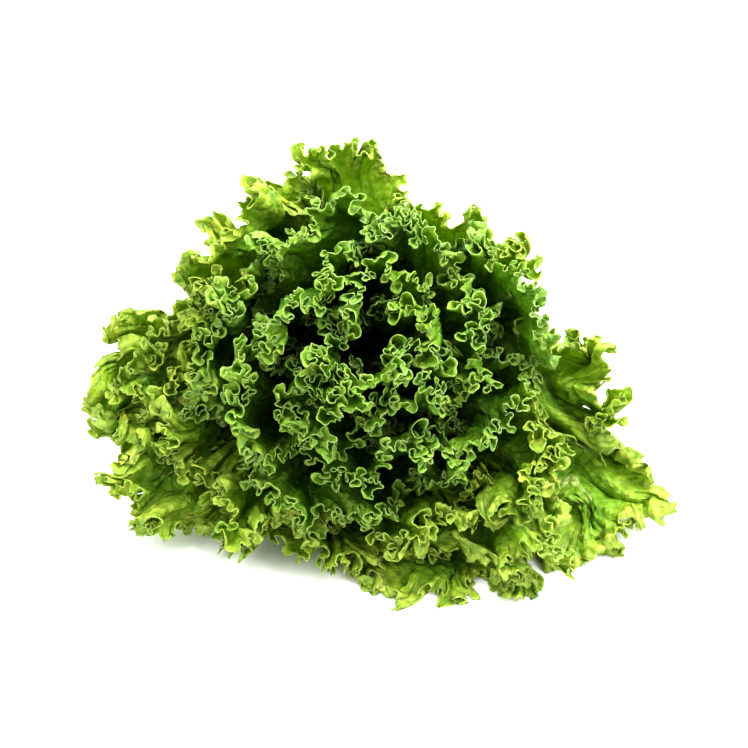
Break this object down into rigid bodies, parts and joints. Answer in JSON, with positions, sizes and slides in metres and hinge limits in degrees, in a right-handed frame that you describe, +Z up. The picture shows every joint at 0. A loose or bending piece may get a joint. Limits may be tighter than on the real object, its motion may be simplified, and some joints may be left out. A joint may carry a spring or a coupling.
{
  "type": "green leaf lettuce",
  "caption": "Whole head of frilly green leaf lettuce, as cut, lying on its side: ruffled leaves in overlapping layers round a short pale stem.",
  "frame": {"origin": "on the surface the head lies on, under the middle of its box", "axes": "+Z up; -Y towards the crown, where the leaves open; +Y towards the cut end of the stem; X across the head, its longest extent"},
  "size_m": [0.344, 0.2342, 0.1931],
  "materials": {
    "outer_leaf": "waxy satin leaf, yellow-green with paler veins and a pale rib",
    "heart_leaf": "waxy satin leaf, lighter yellow-green with pale frilled margins",
    "stem": "pale moist stem, off-white on its cut face"
  },
  "bodies": {
    "root": {"stem": "stem", "leaf_01": "outer_leaf", "leaf_02": "outer_leaf", "leaf_03": "outer_leaf", "leaf_04": "outer_leaf", "leaf_05": "outer_leaf", "leaf_06": "outer_leaf", "leaf_07": "outer_leaf", "leaf_08": "outer_leaf", "leaf_09": "outer_leaf", "leaf_10": "outer_leaf", "leaf_11": "outer_leaf", "leaf_12": "outer_leaf", "leaf_13": "outer_leaf", "leaf_14": "outer_leaf", "leaf_15": "outer_leaf", "leaf_16": "outer_leaf", "leaf_17": "outer_leaf", "leaf_18": "heart_leaf", "leaf_19": "heart_leaf", "leaf_20": "heart_leaf", "leaf_21": "heart_leaf", "leaf_22": "heart_leaf", "leaf_23": "heart_leaf", "leaf_24": "heart_leaf", "leaf_25": "heart_leaf", "leaf_26": "heart_leaf", "leaf_27": "heart_leaf", "leaf_28": "heart_leaf", "leaf_29": "heart_leaf", "leaf_30": "heart_leaf", "leaf_31": "heart_leaf", "leaf_32": "heart_leaf", "leaf_33": "heart_leaf"}
  },
  "joints": []
}
